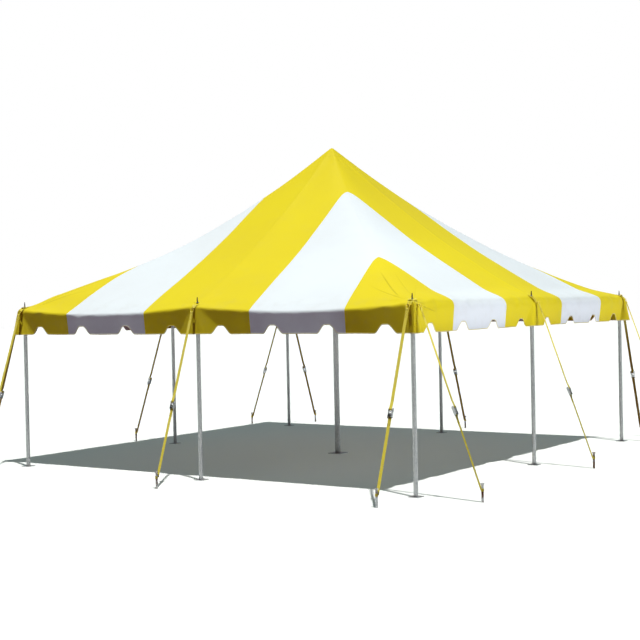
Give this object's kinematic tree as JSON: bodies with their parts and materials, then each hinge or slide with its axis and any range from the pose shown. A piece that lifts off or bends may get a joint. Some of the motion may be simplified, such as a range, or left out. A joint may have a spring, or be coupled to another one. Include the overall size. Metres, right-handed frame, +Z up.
{
  "type": "pole marquee tent",
  "caption": "Square pole marquee: striped pyramid top with a scalloped valance, centre pole, side poles, and webbing guys ratcheted to stakes.",
  "frame": {"origin": "on the ground under the peak, at the foot of the centre pole", "axes": "+Z up; the four sides of the top run along X and Y, and -Y is the front"},
  "size_m": [7.616, 7.616, 4.27],
  "materials": {
    "vinyl_yellow": "coated yellow tent vinyl, satin",
    "vinyl_white": "coated white tent vinyl, satin",
    "webbing_yellow": "woven polyester webbing, matt",
    "galvanised_steel": "galvanised, dull grey"
  },
  "bodies": {
    "root": {"centre_panel_back": "vinyl_yellow", "centre_panel_front": "vinyl_yellow", "centre_panel_left": "vinyl_yellow", "centre_panel_right": "vinyl_yellow", "centre_pole_lower": "galvanised_steel", "centre_pole_upper": "galvanised_steel", "corner_panel_back_left": "vinyl_yellow", "corner_panel_back_right": "vinyl_yellow", "corner_panel_front_left": "vinyl_yellow", "corner_panel_front_right": "vinyl_yellow", "guy_back": "webbing_yellow", "guy_back_left_a": "webbing_yellow", "guy_back_left_b": "webbing_yellow", "guy_back_right_a": "webbing_yellow", "guy_back_right_b": "webbing_yellow", "guy_front": "webbing_yellow", "guy_front_left_a": "webbing_yellow", "guy_front_left_b": "webbing_yellow", "guy_front_right_a": "webbing_yellow", "guy_front_right_b": "webbing_yellow", "guy_left": "webbing_yellow", "guy_right": "webbing_yellow", "peak_cap": "vinyl_yellow", "side_pole_back": "galvanised_steel", "side_pole_back_left": "galvanised_steel", "side_pole_back_right": "galvanised_steel", "side_pole_front": "galvanised_steel", "side_pole_front_left": "galvanised_steel", "side_pole_front_right": "galvanised_steel", "side_pole_left": "galvanised_steel", "side_pole_right": "galvanised_steel", "stake_back": "galvanised_steel", "stake_back_left_a": "galvanised_steel", "stake_back_left_b": "galvanised_steel", "stake_back_right_a": "galvanised_steel", "stake_back_right_b": "galvanised_steel", "stake_front": "galvanised_steel", "stake_front_left_a": "galvanised_steel", "stake_front_left_b": "galvanised_steel", "stake_front_right_a": "galvanised_steel", "stake_front_right_b": "galvanised_steel", "stake_left": "galvanised_steel", "stake_right": "galvanised_steel", "valance_back": "vinyl_yellow", "valance_front": "vinyl_yellow", "valance_left": "vinyl_yellow", "valance_right": "vinyl_yellow", "white_strip_back_a": "vinyl_white", "white_strip_back_b": "vinyl_white", "white_strip_front_a": "vinyl_white", "white_strip_front_b": "vinyl_white", "white_strip_left_a": "vinyl_white", "white_strip_left_b": "vinyl_white", "white_strip_right_a": "vinyl_white", "white_strip_right_b": "vinyl_white"}
  },
  "joints": []
}
